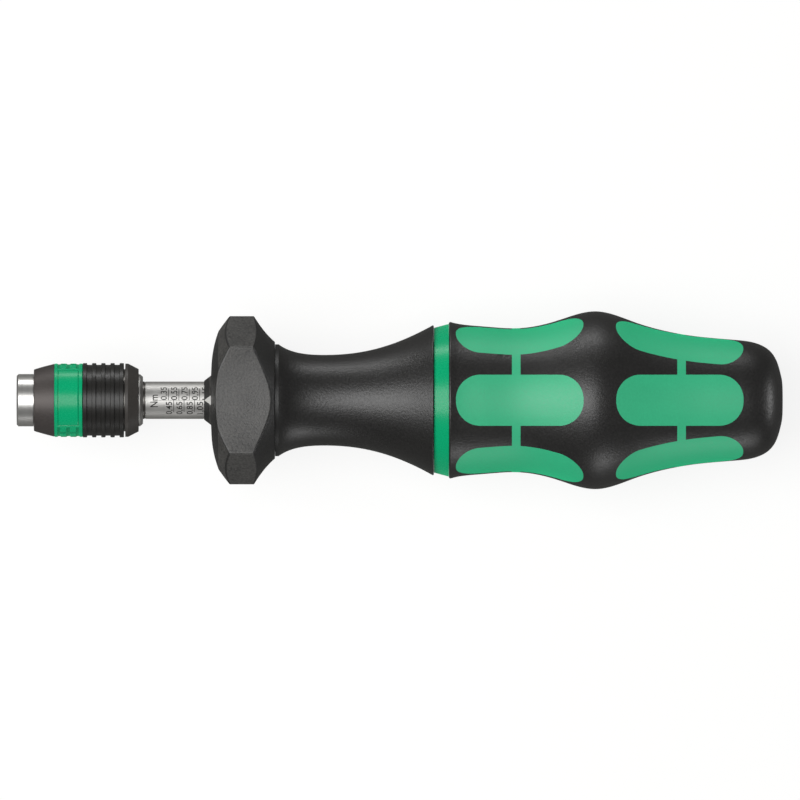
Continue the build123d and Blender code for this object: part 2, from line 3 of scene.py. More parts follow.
import bmesh
import bpy
from bpy.props import FloatProperty, FloatVectorProperty, IntProperty, PointerProperty
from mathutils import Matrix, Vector


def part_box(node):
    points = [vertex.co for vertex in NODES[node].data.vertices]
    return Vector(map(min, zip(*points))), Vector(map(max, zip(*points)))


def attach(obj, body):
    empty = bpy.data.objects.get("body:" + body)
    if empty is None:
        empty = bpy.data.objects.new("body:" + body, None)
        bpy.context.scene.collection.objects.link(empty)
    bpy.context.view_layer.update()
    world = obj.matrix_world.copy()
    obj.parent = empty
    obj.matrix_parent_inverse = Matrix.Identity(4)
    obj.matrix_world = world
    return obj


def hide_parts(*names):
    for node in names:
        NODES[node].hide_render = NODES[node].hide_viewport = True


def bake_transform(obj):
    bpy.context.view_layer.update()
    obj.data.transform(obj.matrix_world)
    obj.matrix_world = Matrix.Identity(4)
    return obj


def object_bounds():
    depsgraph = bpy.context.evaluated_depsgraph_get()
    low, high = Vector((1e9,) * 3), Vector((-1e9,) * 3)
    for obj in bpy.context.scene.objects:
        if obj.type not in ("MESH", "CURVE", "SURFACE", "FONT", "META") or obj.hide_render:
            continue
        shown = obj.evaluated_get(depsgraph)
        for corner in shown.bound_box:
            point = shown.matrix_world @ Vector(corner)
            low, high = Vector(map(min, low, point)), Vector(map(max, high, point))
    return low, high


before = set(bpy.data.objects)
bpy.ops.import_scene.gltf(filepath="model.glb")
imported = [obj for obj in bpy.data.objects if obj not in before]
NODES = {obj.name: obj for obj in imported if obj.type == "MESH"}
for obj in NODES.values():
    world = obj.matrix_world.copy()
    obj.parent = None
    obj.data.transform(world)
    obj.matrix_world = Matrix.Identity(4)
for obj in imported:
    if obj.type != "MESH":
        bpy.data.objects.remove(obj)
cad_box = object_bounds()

bl_info = {
    "name": "Torque screwdriver finishes",
    "version": (1, 0, 0),
    "blender": (4, 5, 0),
    "location": "View3D > Sidebar > Screwdriver",
    "description": "Dresses the torque screwdriver, engraves its scale and sets up its studio",
    "category": "Object",
}

MM = 0.001
OPAQUE = 1.0
WHITE = (1.0, 1.0, 1.0, OPAQUE)

# The frame's solids by name, and the boxes of three that new pieces are fitted to
SLEEVE_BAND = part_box("sleeve_band")
SCALE_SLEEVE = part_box("scale_sleeve")
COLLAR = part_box("adjusting_collar")

# Folds sharper than this many degrees stay crisp edges
SPRING_FOLD = 50
BAND_FOLD = 38
COLLAR_FOLD = 60

# A spring's mesh: steps along one turn, and sides of the wire
COIL_STEPS = 36
WIRE_SIDES = 14

# The band's mesh, and its outline in millimetres
BAND_ROWS = 76
BAND_COLUMNS = 540
BAND_BORE = 6.9
BAND_CHAMFER = 0.1
# The flank of its relief, and the length of a pad and of the gap between two, in millimetres
BAND_FLANK = 0.1
PAD_LENGTH = 1.35
PAD_GAP = 0.62
# Beside the pads the plain rim keeps this share of its width
PAD_RIM_SHARE = 0.75
# The line around a panel, in millimetres: how far it reaches in and out of the panel's edge,
# and its flank
LINE_INSIDE = 0.14
LINE_OUTSIDE = 0.12
LINE_FLANK = 0.07
# Degrees around the axis from the top, repeated after half a turn: where a panel starts and ends,
# how far its line may reach beyond, and where the next panel's own degrees begin
PANEL_START = -43.6
PANEL_END = 54.5
PANEL_MARGIN = 5
PANEL_WRAP = 95
# The field of pads beside it: its ends, the first pad, and the pads' pitch, number (the last one
# is cut off), width and flank
FIELD_START = 58.5
FIELD_END = 134.5
FIRST_PAD = 60.5
PAD_PITCH = 19.4
PAD_COUNT = 3.72
PAD_WIDTH = 13.5
PAD_FLANK = 0.8

# Scale values in hundredths of a newton metre
FIRST_VALUE = 35
VALUE_STEP = 10
# Figures while they are flat: how bold and how round, half their thickness, which their layer
# replaces, how near points are welded, and into how many strips they are cut to bend
FIGURE_BOLDNESS = 0.008
FIGURE_CURVE_STEPS = 4
FIGURE_HALF_THICKNESS = 0.5
FIGURE_WELD = 1e-5
FIGURE_STRIPS = 14
# Degrees that one straight step of a bent line takes
LINE_STEP = 3

# The collar's turned form, as (place behind its front, radius) in millimetres
CONE_START = (0.0, 3.95)
CONE_END = (1.46, 5.08)
DOME_MIDDLE = (1.75, 9.7)
DOME_END = (2.9, 14.0)
CORNER_START = (5.22, 17.3)
CORNER_END = (10.06, 17.3)
BACK_MIDDLE = (12.1, 14.1)
BACK_RADIUS = 11.8
# Its bore from the rear: the bearing's room, the clearance and the guide around the scale sleeve
BEARING_LENGTH, BEARING_RADIUS = 5.43, 8.25
CLEARANCE_RADIUS = 4.1
GUIDE_LENGTH, GUIDE_RADIUS = 3.1, 3.83
MOUTH_CHAMFER = 0.12
# Half the angle that one of its three wide sides takes up, in degrees
WIDE_HALF_ANGLE = 38.55
# Its mesh: columns around, rows on the dome and behind it, and how far the dome's rows crowd inward
COLLAR_COLUMNS = 600
DOME_ROWS = 48
BODY_ROWS = 64
DOME_CROWDING = 1.6
# Rows close to the cone's edges keep them crisp
CONE_PLACES = [0.0, 0.08, 0.7, 1.38, 1.46]
# Blasted faces by how they are turned, from -1 for forward to 1 for backward, as (first, last,
# fade): the sloping rim in front, and the sides
BLASTED_FACES = ((-0.88, -0.79, 0.05), (-0.1, 0.1, 0.1))

# The index mark's mesh, its layer and where it starts behind the collar's front, in millimetres,
# and the share of its width that is left at the tip
MARK_ROWS, MARK_COLUMNS = 6, 8
MARK_LAYER = 0.02
MARK_START = 0.04
MARK_TIP_SHARE = 0.01

# Lamps: place, and the width and depth of the lit face, in metres
LAMPS = {
    "key": ((-0.36, 0.0, 0.8), 0.62, 1.1),
    "left": ((-0.05, 0.75, 0.035), 0.7, 0.1),
    "right": ((0.27, -0.75, 0.035), 0.36, 0.1),
    "rear": ((0.9, 0.0, 0.07), 0.45, 0.14),
}
# The middle of the tool, which they face
LAMP_AIM = Vector((0.0775, 0.0, 0.0))

# The floor's half width and its gap under the tool, in metres, and its fibre's size and contrast
FLOOR_HALF = 3.0
FLOOR_GAP = 0.0001
FIBRE_SIZE = 4 * MM
FIBRE_SHADE = 0.99

# The camera's sensor in millimetres, and how far it sees, in metres
SENSOR_WIDTH = 36.0
CAMERA_REACH = 20.0


def linear(hex_colour):
    """The linear colour, with full opacity, of an sRGB colour written as #RRGGBB."""
    channels = [int(hex_colour[start:start + 2], 16) / 255 for start in (1, 3, 5)]
    return [
        c / 12.92 if c <= 0.04045 else ((c + 0.055) / 1.055) ** 2.4 for c in channels
    ] + [OPAQUE]


def length(name, description, millimetres):
    """A size that a user can change, given in millimetres and kept in metres."""
    return FloatProperty(
        name=name, description=description, default=millimetres * MM, unit="LENGTH", precision=5
    )


def colour(name, description, hex_colour):
    """A colour that a user can change, given in sRGB and kept linear."""
    return FloatVectorProperty(
        name=name, description=description, default=linear(hex_colour), size=4,
        subtype="COLOR", min=0.0, max=1.0,
    )


def power(name, description, watts):
    """The power of a lamp, in watts."""
    return FloatProperty(name=name, description=description, default=watts, unit="POWER")


def share(name, description, default):
    """A share between nought and one that a user can change."""
    return FloatProperty(
        name=name, description=description, default=default, subtype="FACTOR", min=0.0, max=1.0
    )


def amount(name, description, default, least=0.0):
    """A plain number that a user can change, down to a least value."""
    return FloatProperty(name=name, description=description, default=default, min=least)


class ScaleProperties(bpy.types.PropertyGroup):
    """The engraved torque scale."""
    first_place: length("First mark", "Place of the first mark behind the bit socket's edge", 30.72)
    pitch: length("Pitch", "Distance between two marks, one turn of the collar", 1.05)
    mark_width: length("Mark width", "Width of an engraved line", 0.12)
    mark_reach: length("Mark reach", "How far a mark runs around the sleeve", 2.55)
    figure_height: length("Figure height", "Height of the figures", 1.22)
    figure_run: length("Figure run", "Length of one printed value around the sleeve", 2.85)
    figure_gap: length("Figure gap", "Gap between a value and its mark", 0.3)
    upper_start: length("Upper start", "Where an upper value starts above the centre line", 0.05)
    lower_end: length("Lower end", "Where a lower value ends below the centre line", 0.3)
    unit_height: length("Unit height", "Height of the unit's letters", 1.55)
    unit_run: length("Unit run", "Length of the unit around the sleeve", 2.55)
    unit_start: length("Unit start", "Where the unit starts below the centre line", 1.42)
    unit_place: length("Unit place", "Place of the unit's base line", 28.55)
    line_gap: length("Line gap", "Gap between the unit and the centre line", 0.1)
    depth: length("Layer", "How far the marks stand proud of the steel", 0.012)
    value_count: IntProperty(
        name="Values", description="How many values are engraved", default=10, min=2, max=16
    )


class BandProperties(bpy.types.PropertyGroup):
    """The relief of the coloured band on the release sleeve."""
    relief: length("Relief", "Depth of the valleys between the pads", 0.15)
    groove: length("Groove", "Depth of the line around the bare panels", 0.09)
    rim: length("Rim", "Width of the plain rim at both edges", 0.8)
    groove_shade: share("Groove shade", "Share of the colour that is left in the grooves", 0.62)


class CollarProperties(bpy.types.PropertyGroup):
    """The adjusting collar and its index mark."""
    edge_blend: length("Edge blend", "How softly the flats meet the turned form", 0.22)
    hollow: length("Hollow", "Depth of the hollow in each wide side", 1.1)
    pointer_width: length("Pointer width", "Width of the index mark's base", 2.06)
    pointer_length: length("Pointer length", "Length of the index mark along the axis", 1.4)
    smooth_shade: share("Smooth shade", "Share of the blasted colour on the smooth faces", 0.2)


class SpringProperties(bpy.types.PropertyGroup):
    """The two coil springs inside the tool."""
    main_wire: length("Main wire", "Wire of the spring that sets the torque", 1.9)
    main_turns: amount("Main turns", "Turns of the spring that sets the torque", 7.5, least=2.0)
    release_wire: length("Release wire", "Wire of the spring under the release sleeve", 0.48)
    release_turns: amount(
        "Release turns", "Turns of the spring under the release sleeve", 5.5, least=2.0
    )


class ColourProperties(bpy.types.PropertyGroup):
    """Colours of the finishes."""
    black_polyamide: colour("Black polyamide", "Hard black handle and housing", "#141312")
    black_anodised: colour("Black anodised", "Ribbed grip of the release sleeve", "#1C1B19")
    grey_anodised: colour("Grey anodised", "Cap of the release sleeve", "#4E4947")
    dark_anodised: colour("Dark anodised", "End ring of the release sleeve", "#3B3835")
    black_blasted: colour("Black blasted", "Blasted faces of the adjusting collar", "#393836")
    black_acetal: colour("Black acetal", "Thrust washer behind the collar", "#161615")
    green_elastomer: colour("Green elastomer", "Soft windows of the handle", "#20B07C")
    # Painted light: the sheen's bright green tint keeps the green plastics bright where they turn
    # away
    painted_green_sheen: colour("Green bloom", "Glow of the green plastics where they turn away", "#20FFAE")
    green_moulded: colour("Green moulded", "Colour ring and sleeve band", "#00A26C")
    steel: colour("Bright steel", "Turned and polished steel", "#DAD9D6")
    satin_steel: colour("Satin steel", "Ground steel of the scale sleeve", "#C0BFBC")
    hardened: colour("Hardened steel", "Oiled steel of the mechanism", "#6B6966")
    brass: colour("Brass", "Nut and bearing", "#CDA35B")
    rubber: colour("Rubber", "Friction ring", "#1A1A1A")
    marking: colour("Marking", "Dark engraved lines and figures", "#1B1A18")
    index: colour("Index", "White index mark", "#BDBCB8")
    floor: colour("Floor", "Grey paper under its white glow", "#6E6E6C")


class StudioProperties(bpy.types.PropertyGroup):
    """Camera and lamps."""
    distance: length("Camera distance", "Height of the camera above the tool's axis", 6000.0)
    picture_width: length("Picture width", "Width shown at the height of the tool's axis", 161.88)
    picture_middle: length("Picture middle", "Place on the axis at the picture's middle", 77.54)
    picture_side: length("Picture side", "How far the middle lies off the axis towards +Y", 0.05)
    key_power: power("Key lamp", "Power of the lamp above", 9.5)
    left_power: power("Left lamp", "Power of the lamp on the +Y side", 1.9)
    right_power: power("Right lamp", "Power of the lamp on the -Y side", 0.95)
    rear_power: power("Rear lamp", "Power of the low lamp behind the tail", 1.8)
    sky: amount("Sky", "Strength of the even light from all around", 0.14)
    white_card: amount(
        "White card", "How much the floor glows for the camera, so that it reads as white", 0.86
    )
    card_in_gloss: amount("Card in reflections", "How much the floor glows in reflections", 0.02)


# Materials

def add_node(tree, kind, values=None, links=None, **settings):
    """One shader node with its settings, the values of its sockets and what feeds them."""
    node = tree.nodes.new("ShaderNode" + kind)
    for name, setting in settings.items():
        setattr(node, name, setting)
    for name, value in (values or {}).items():
        node.inputs[name].default_value = value
    for name, source in (links or {}).items():
        tree.links.new(source, node.inputs[name])
    return node


def start_material(name, inputs=None):
    """A new material with its shader, and the place on the tool in metres as a socket."""
    material = bpy.data.materials.new(name)
    material.use_nodes = True
    tree = material.node_tree
    tree.nodes.clear()
    shader = add_node(tree, "BsdfPrincipled", inputs)
    add_node(tree, "OutputMaterial", links={"Surface": shader.outputs["BSDF"]})
    place = add_node(tree, "TexCoord").outputs["Object"]
    return material, tree, shader, place


def tinted(colour_value, factor):
    """A colour made lighter or darker by a factor."""
    return [min(1.0, channel * factor) for channel in colour_value[:3]] + [OPAQUE]


def feed_shader(shader, base, contrast, swing, gloss, height, depth):
    """Feeds a shader: a colour that swings around a base, a roughness, and a bump in metres."""
    tree = shader.id_data
    shade = add_node(
        tree, "Mix", {6: tinted(base, 1 - contrast), 7: tinted(base, 1 + contrast)},
        {0: swing}, data_type="RGBA",
    )
    bump = add_node(tree, "Bump", {"Strength": 1.0, "Distance": depth}, {"Height": height})
    tree.links.new(shade.outputs[2], shader.inputs["Base Color"])
    tree.links.new(gloss, shader.inputs["Roughness"])
    tree.links.new(bump.outputs["Normal"], shader.inputs["Normal"])


def turned_metal(name, base, roughness, groove, depth, contrast):
    """Metal turned on a lathe and then polished or oiled.

    Fine rings run around the axis, so highlights stretch along it and break up a little.
    The rings' pitch is far finer on the real piece, and is drawn as coarse as it needs to show.
    """
    material, tree, shader, place = start_material(name, {"Metallic": 1.0})
    streak = 7 * MM
    dullest, brightest = 1.25, 0.8
    rings = add_node(
        tree, "Mapping", {"Scale": (1 / groove, 1 / streak, 1 / streak)}, {"Vector": place}
    )
    grain = add_node(
        tree, "TexNoise", {"Scale": 1.0, "Detail": 3.0, "Roughness": 0.6},
        {"Vector": rings.outputs["Vector"]},
    ).outputs["Fac"]
    gloss = add_node(
        tree, "MapRange", {"To Min": roughness * brightest, "To Max": roughness * dullest},
        {"Value": grain},
    ).outputs["Result"]
    feed_shader(shader, base, contrast, grain, gloss, grain, depth)
    return material


def pitted(name, base, roughness, pit, depth, mottle, inputs=None):
    """A surface of fine pits: plastic or rubber from a mould, or blasted, anodised or peened metal.

    The pits give the surface its even matt look and the speckle at the edge of each highlight.
    They are finer on the real piece, and are drawn as coarse as they need to show. A slower
    noise varies the colour, as pigment does in thick mouldings and dye in an oxide.
    """
    material, tree, shader, place = start_material(name, inputs)
    cloud_size, cloud_share = 6 * MM, 0.35
    darkest_at, lightest_at = 0.45, 0.9
    brightest_at, dullest_at = 0.3, 0.7
    dullest, brightest = 1.1, 0.9
    pits = add_node(
        tree, "TexNoise", {"Scale": 1 / pit, "Detail": 2.0, "Roughness": 0.6}, {"Vector": place}
    ).outputs["Fac"]
    cloud = add_node(tree, "TexNoise", {"Scale": 1 / cloud_size, "Detail": 2.0}, {"Vector": place})
    both = add_node(
        tree, "Math", {1: cloud_share}, {0: cloud.outputs["Fac"], 2: pits}, operation="MULTIPLY_ADD"
    )
    spread = add_node(
        tree, "MapRange", {"From Min": darkest_at, "From Max": lightest_at},
        {"Value": both.outputs["Value"]},
    ).outputs["Result"]
    gloss = add_node(
        tree, "MapRange",
        {
            "From Min": brightest_at, "From Max": dullest_at,
            "To Min": roughness * brightest, "To Max": roughness * dullest,
        },
        {"Value": pits},
    ).outputs["Result"]
    feed_shader(shader, base, mottle, spread, gloss, pits, depth)
    return material


def painted(name, base, roughness):
    """A thin even layer of paint or burnt-in marking, with the unevenness of its edge and body."""
    return pitted(name, base, roughness, pit=0.12 * MM, depth=0.002 * MM, mottle=0.12)


def colour_parts(material):
    """A material's tree and shader, and the socket that gives the shader its colour."""
    tree = material.node_tree
    shader = tree.nodes["Principled BSDF"]
    return tree, shader, shader.inputs["Base Color"].links[0].from_socket


def blasted_sides_only(material, share):
    """Darkens the turned faces of a blasted piece to a share of its colour, as a smooth mould does.

    The blasting reached the sides, which run along the axis, and the sloping rim in front.
    How far a face is turned towards the front or the rear tells which it is.
    """
    tree, shader, blasted = colour_parts(material)
    facing = add_node(tree, "TexCoord").outputs["Normal"]
    along = add_node(tree, "SeparateXYZ", links={"Vector": facing}).outputs["X"]
    turn = add_node(tree, "MapRange", {"From Min": -1.0}, {"Value": along})
    ramp = add_node(tree, "ValToRGB", links={"Fac": turn.outputs["Result"]})
    for end in ramp.color_ramp.elements:
        end.color = (share, share, share, OPAQUE)
    for start, end, fade in BLASTED_FACES:
        steps = ((start - fade, share), (start, 1.0), (end, 1.0), (end + fade, share))
        for look, level in steps:
            step = ramp.color_ramp.elements.new((look + 1) / 2)
            step.color = (level, level, level, OPAQUE)
    shade = add_node(
        tree, "Mix", {0: 1.0}, {6: blasted, 7: ramp.outputs["Color"]},
        data_type="RGBA", blend_type="MULTIPLY",
    )
    tree.links.new(shade.outputs[2], shader.inputs["Base Color"])


def painted_groove_shade(material, radius, depth, share):
    """Paints shade into what lies below a radius around the axis: a darkening of the fine grooves,
    where shade falls.
    """
    tree, shader, plain = colour_parts(material)
    place = add_node(tree, "TexCoord").outputs["Object"]
    outward = add_node(tree, "VectorMath", {1: (0.0, 1.0, 1.0)}, {0: place}, operation="MULTIPLY")
    height = add_node(tree, "VectorMath", {}, {0: outward.outputs["Vector"]}, operation="LENGTH")
    level = add_node(
        tree, "MapRange", {"From Min": radius - depth, "From Max": radius, "To Min": share},
        {"Value": height.outputs["Value"]},
    )
    shade = add_node(
        tree, "VectorMath", {}, {0: plain, "Scale": level.outputs["Result"]}, operation="SCALE"
    )
    tree.links.new(shade.outputs["Vector"], shader.inputs["Base Color"])


def dress(material, *names):
    """Gives solids of the frame one material."""
    for name in names:
        mesh = NODES[name].data
        mesh.materials.clear()
        mesh.materials.append(material)


# Shapes

def mesh_piece(name, points, faces, material, body=None, fold=None):
    """A new piece from points and faces in metres, smooth up to a fold in degrees.

    It rides on a body, or is left without one.
    """
    mesh = bpy.data.meshes.new(name)
    mesh.from_pydata(points, [], faces)
    mesh.validate()
    form = bmesh.new()
    form.from_mesh(mesh)
    bmesh.ops.recalc_face_normals(form, faces=form.faces)
    if fold is not None:
        for face in form.faces:
            face.smooth = True
        for edge in form.edges:
            edge.smooth = len(edge.link_faces) == 2 and edge.calc_face_angle() < math.radians(fold)
    form.to_mesh(mesh)
    form.free()
    mesh.materials.append(material)
    piece = bpy.data.objects.new(name, mesh)
    bpy.context.scene.collection.objects.link(piece)
    if body:
        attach(piece, body)
    return piece


def around(place, radius, angle):
    """A point at a place on the axis, at a radius and an angle from the top towards +Y."""
    return (place, radius * math.sin(angle), radius * math.cos(angle))


def closed_profile(stations, columns, radius_at):
    """Points and faces of a ring whose closed outline may vary around the axis."""
    rows = len(stations)
    points = []
    for row in range(rows):
        for column in range(columns):
            angle = 2 * math.pi * column / columns
            points.append(around(stations[row][0], radius_at(row, angle), angle))
    faces = []
    for row in range(rows):
        here, below = row * columns, ((row + 1) % rows) * columns
        for column in range(columns):
            beside = (column + 1) % columns
            faces.append((here + column, here + beside, below + beside, below + column))
    return points, faces


def plateau(value, start, end, slope):
    """One inside a range and nought outside it, with sloping flanks."""
    rise = min(1.0, max(0.0, (value - start) / slope))
    fall = min(1.0, max(0.0, (end - value) / slope))
    return min(rise, fall)


def soft_minimum(first, second, blend):
    """The smaller of two values, rounded off where they are nearly equal."""
    nearness = max(blend - abs(first - second), 0.0) / blend
    return min(first, second) - nearness * nearness * blend / 4


def line_radius(start, end, place):
    """The radius at a place on the line through two (place, radius) points."""
    return start[1] + (place - start[0]) / (end[0] - start[0]) * (end[1] - start[1])


def arc_radius(start, middle, end):
    """What gives the radius at a place on the arc through three (place, radius) points."""
    (ax, ay), (bx, by), (cx, cy) = start, middle, end
    double = 2 * (ax * (by - cy) + bx * (cy - ay) + cx * (ay - by))
    a2, b2, c2 = ax * ax + ay * ay, bx * bx + by * by, cx * cx + cy * cy
    centre_x = (a2 * (by - cy) + b2 * (cy - ay) + c2 * (ay - by)) / double
    centre_y = (a2 * (cx - bx) + b2 * (ax - cx) + c2 * (bx - ax)) / double
    size = math.hypot(ax - centre_x, ay - centre_y)
    side = 1 if by > centre_y else -1
    return lambda place: centre_y + side * math.sqrt(
        max(size * size - (place - centre_x) ** 2, 0.0)
    )


class DRIVER_OT_steel(bpy.types.Operator):
    """Finishes the steel pieces: bright outside, oiled and hardened inside"""
    bl_idname = "torque_driver.steel"
    bl_label = "Finish the steel"

    def execute(self, context):
        tones = context.scene.driver_colours
        # Turned and polished stainless steel: bands of lamp light between calm greys
        polished = turned_metal(
            "turned_polished_steel", tones.steel,
            roughness=0.32, groove=0.16 * MM, depth=0.0012 * MM, contrast=0.08,
        )
        # Hardened steel left oiled from the furnace: darker, with a dull sheen
        oiled = turned_metal(
            "oiled_hardened_steel", tones.hardened,
            roughness=0.34, groove=0.2 * MM, depth=0.002 * MM, contrast=0.15,
        )
        # Stainless steel ground to a satin face, on which the scale reads without glare
        satin = turned_metal(
            "satin_ground_steel", tones.satin_steel,
            roughness=0.48, groove=0.3 * MM, depth=0.002 * MM, contrast=0.07,
        )
        dress(
            polished, "spindle", "bit_magnet", "lock_ball_left", "lock_ball_right", "clutch_balls",
            "spindle_nut",
        )
        dress(satin, "scale_sleeve", "chuck_stop_ring")
        dress(
            oiled, "lock_sleeve", "sleeve_snap_ring", "collar_retaining_ring",
            "mechanism_tube", "guide_bush", "spring_seat_washer", "clutch_ring", "clutch_disc",
            "bearing_snap_ring", "thrust_washer",
        )
        return {"FINISHED"}


def coil(name, node, wire, turns, material):
    """A spring of round wire in a solid's place."""
    low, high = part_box(node)
    size = wire / 2
    radius = high.z - size
    run = high.x - low.x - wire
    lean = math.atan2(run / turns, 2 * math.pi * radius)
    steps = round(COIL_STEPS * turns)
    points = []
    for step in range(steps + 1):
        turned = 2 * math.pi * turns * step / steps
        outward = Vector(around(0.0, 1.0, math.pi - turned))
        ahead = Vector((
            math.sin(lean), math.cos(lean) * math.cos(turned), math.cos(lean) * math.sin(turned)
        ))
        centre = Vector((low.x + size + run * step / steps, 0.0, 0.0)) + radius * outward
        across = ahead.cross(outward)
        for side in range(WIRE_SIDES):
            angle = 2 * math.pi * side / WIRE_SIDES
            points.append(centre + size * (math.cos(angle) * outward + math.sin(angle) * across))
    last = steps * WIRE_SIDES
    faces = [tuple(range(WIRE_SIDES)), tuple(range(last, last + WIRE_SIDES))]
    for corner in range(last):
        beside = corner - corner % WIRE_SIDES + (corner + 1) % WIRE_SIDES
        faces.append((corner, beside, beside + WIRE_SIDES, corner + WIRE_SIDES))
    spring = mesh_piece(name, points, faces, material, fold=SPRING_FOLD)
    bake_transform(spring)
    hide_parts(node)


class DRIVER_OT_springs(bpy.types.Operator):
    """Builds the two springs"""
    bl_idname = "torque_driver.springs"
    bl_label = "Build the springs"

    def execute(self, context):
        sizes = context.scene.driver_springs
        # Spring steel, peened with shot after coiling and oiled: dark and dull, with fine pits
        finish = pitted(
            "peened_spring_steel", context.scene.driver_colours.hardened,
            roughness=0.4, pit=0.15 * MM, depth=0.003 * MM, mottle=0.12, inputs={"Metallic": 1.0},
        )
        dress(finish, "main_spring", "release_spring")
        coil(
            "torque_spring", "main_spring", sizes.main_wire, sizes.main_turns, finish,
        )
        coil(
            "sleeve_spring", "release_spring", sizes.release_wire, sizes.release_turns, finish,
        )
        return {"FINISHED"}


class DRIVER_OT_brass_and_rubber(bpy.types.Operator):
    """Finishes the brass nut, the bearing and the rubber friction ring"""
    bl_idname = "torque_driver.brass_and_rubber"
    bl_label = "Finish brass and rubber"

    def execute(self, context):
        tones = context.scene.driver_colours
        # Brass turned dry: warm, with clear tool rings
        brass = turned_metal(
            "turned_brass", tones.brass,
            roughness=0.28, groove=0.2 * MM, depth=0.002 * MM, contrast=0.1,
        )
        dress(brass, "collar_nut", "rear_bearing")
        # Moulded nitrile rubber: dull, with the bloom that rubber has
        rubber = pitted(
            "moulded_rubber", tones.rubber,
            roughness=0.7, pit=0.2 * MM, depth=0.004 * MM, mottle=0.15,
        )
        dress(rubber, "collar_friction_ring")
        return {"FINISHED"}


class DRIVER_OT_release_sleeve(bpy.types.Operator):
    """Finishes the anodised grip, cap and end ring of the release sleeve"""
    bl_idname = "torque_driver.release_sleeve"
    bl_label = "Finish the release sleeve"

    def execute(self, context):
        tones = context.scene.driver_colours
        # Turned aluminium, anodised black: a clear oxide over dark dye, with a bright light on
        # each rib
        black = pitted(
            "black_anodised_aluminium", tones.black_anodised,
            roughness=0.36, pit=0.3 * MM, depth=0.003 * MM, mottle=0.12,
        )
        dress(black, "sleeve_grip")
        # The same metal blasted before it was anodised: a warm dark grey with wide, dull lights
        grey = pitted(
            "grey_anodised_aluminium", tones.grey_anodised,
            roughness=0.5, pit=0.35 * MM, depth=0.004 * MM, mottle=0.12, inputs={"Metallic": 0.5},
        )
        dress(grey, "sleeve_nose")
        # A second pass through the dye leaves the turned end ring darker than the cap
        dark = pitted(
            "dark_anodised_aluminium", tones.dark_anodised,
            roughness=0.46, pit=0.35 * MM, depth=0.004 * MM, mottle=0.1,
        )
        dress(dark, "sleeve_rear_ring")
        return {"FINISHED"}


def panel_line(place, turn, reach, sizes):
    """Depth of the line around a bare panel, at a place in from the band's nearer edge."""
    edge = max(
        sizes.rim - place,
        math.radians(turn - PANEL_END) * reach,
        math.radians(PANEL_START - turn) * reach,
    )
    return sizes.groove * plateau(edge, -LINE_INSIDE * MM, LINE_OUTSIDE * MM, LINE_FLANK * MM)


def pad_valley(place, from_middle, span, turn, sizes):
    """Depth beside the pads, at a place in from the nearer edge and out from the middle."""
    field = (turn - FIRST_PAD) / PAD_PITCH
    if not 0 <= field < PAD_COUNT:
        return 0.0
    flank = BAND_FLANK * MM
    across = plateau((field - math.floor(field)) * PAD_PITCH, 0, PAD_WIDTH, PAD_FLANK)
    pad_start = PAD_GAP * MM / 2
    lengthwise = plateau(from_middle, pad_start, pad_start + PAD_LENGTH * MM, flank)
    valley = plateau(place, sizes.rim * PAD_RIM_SHARE, span, flank)
    field_edge = plateau(turn, FIELD_START, FIELD_END, PAD_FLANK)
    return sizes.relief * valley * field_edge * (1 - across * lengthwise)


class DRIVER_OT_band(bpy.types.Operator):
    """Builds the release sleeve's band, with pads and bare panels, and colours the handle's ring"""
    bl_idname = "torque_driver.band"
    bl_label = "Build the sleeve band"

    def execute(self, context):
        sizes = context.scene.driver_band
        tones = context.scene.driver_colours
        low, high = SLEEVE_BAND
        start, end = low.x, high.x
        bore, outer, chamfer = BAND_BORE * MM, high.z, BAND_CHAMFER * MM
        stations = [(start, bore), (start, outer - chamfer)]
        for row in range(BAND_ROWS + 1):
            place = start + chamfer + (end - start - 2 * chamfer) * row / BAND_ROWS
            stations.append((place, outer))
        stations += [(end, outer - chamfer), (end, bore)]

        def radius_at(row, angle):
            place, radius = stations[row]
            if radius < outer:
                return radius
            inward = min(place - start, end - place)
            turn = math.degrees(angle) % 180
            panel_turn = turn - 180 if turn > PANEL_WRAP else turn
            if PANEL_START - PANEL_MARGIN < panel_turn < PANEL_END + PANEL_MARGIN:
                return radius - panel_line(inward, panel_turn, outer, sizes)
            from_middle = abs(place - (start + end) / 2)
            return radius - pad_valley(inward, from_middle, end - start, turn, sizes)

        points, faces = closed_profile(stations, BAND_COLUMNS, radius_at)
        # Glass-filled plastic from a polished mould, with a soft, tight gloss; its bright green
        # sheen is painted light that keeps the colour strong up to its rims
        finish = pitted(
            "green_moulded_plastic", tones.green_moulded,
            roughness=0.27, pit=0.25 * MM, depth=0.0015 * MM, mottle=0.06,
            inputs={
                "Specular IOR Level": 0.3, "Sheen Weight": 0.6, "Sheen Roughness": 0.5,
                "Sheen Tint": tones.painted_green_sheen,
            },
        )
        # The grooves' darkening is painted shade
        painted_groove_shade(finish, outer, sizes.groove, sizes.groove_shade)
        band = mesh_piece(
            "release_band", points, faces, finish, "grip_body", BAND_FOLD
        )
        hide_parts("sleeve_band")
        dress(finish, "sleeve_band", "colour_ring")
        return {"FINISHED"}


